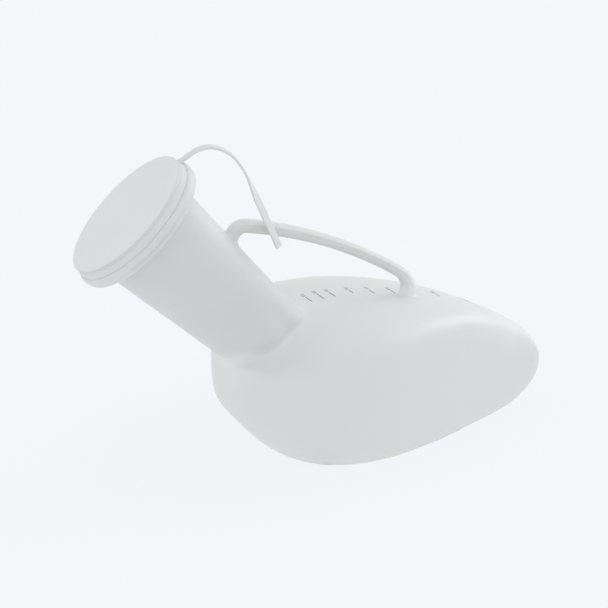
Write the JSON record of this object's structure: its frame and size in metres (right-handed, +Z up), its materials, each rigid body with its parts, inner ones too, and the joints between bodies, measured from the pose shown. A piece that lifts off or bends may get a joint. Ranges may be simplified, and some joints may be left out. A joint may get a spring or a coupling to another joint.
{
  "type": "urine bottle",
  "caption": "Flat-based pear-shaped plastic bottle with a slanted round neck, a bar handle, and a push-on lid with a moulded strap.",
  "frame": {"origin": "on the flat base, below the middle of the body's length", "axes": "+X towards the narrow tip, -X towards the neck and mouth, +Z up; the bottle is symmetrical about Y = 0"},
  "size_m": [0.2485, 0.1322, 0.1476],
  "materials": {
    "bottle": "milky translucent polyethylene, satin",
    "lid": "milky polyethylene, matt",
    "scale_ink": "printed ink"
  },
  "bodies": {
    "bottle": {"bottle_body": "bottle", "bottle_neck": "bottle", "mouth_flange": "bottle", "handle": "bottle", "scale_mark_100": "scale_ink", "scale_mark_200": "scale_ink", "scale_mark_300": "scale_ink", "scale_mark_400": "scale_ink", "scale_mark_500": "scale_ink", "scale_mark_600": "scale_ink", "scale_mark_700": "scale_ink", "scale_mark_800": "scale_ink", "scale_mark_900": "scale_ink"},
    "lid": {"lid_cap": "lid", "lid_seal_ring": "lid"},
    "strap": {"lid_strap": "lid"}
  },
  "joints": [
    {"name": "lid_pull", "type": "slide", "parent": "bottle", "child": "lid", "axis": [-0.7108, 0, 0.7034], "range_m": [0, 0.05]},
    {"name": "strap_flex", "type": "hinge", "parent": "lid", "child": "strap", "pos_m": [-0.1115, 0, 0.14], "axis": [0, -1, 0], "range_deg": [0, 40], "stiffness_Nm_per_rad": 0.01}
  ]
}
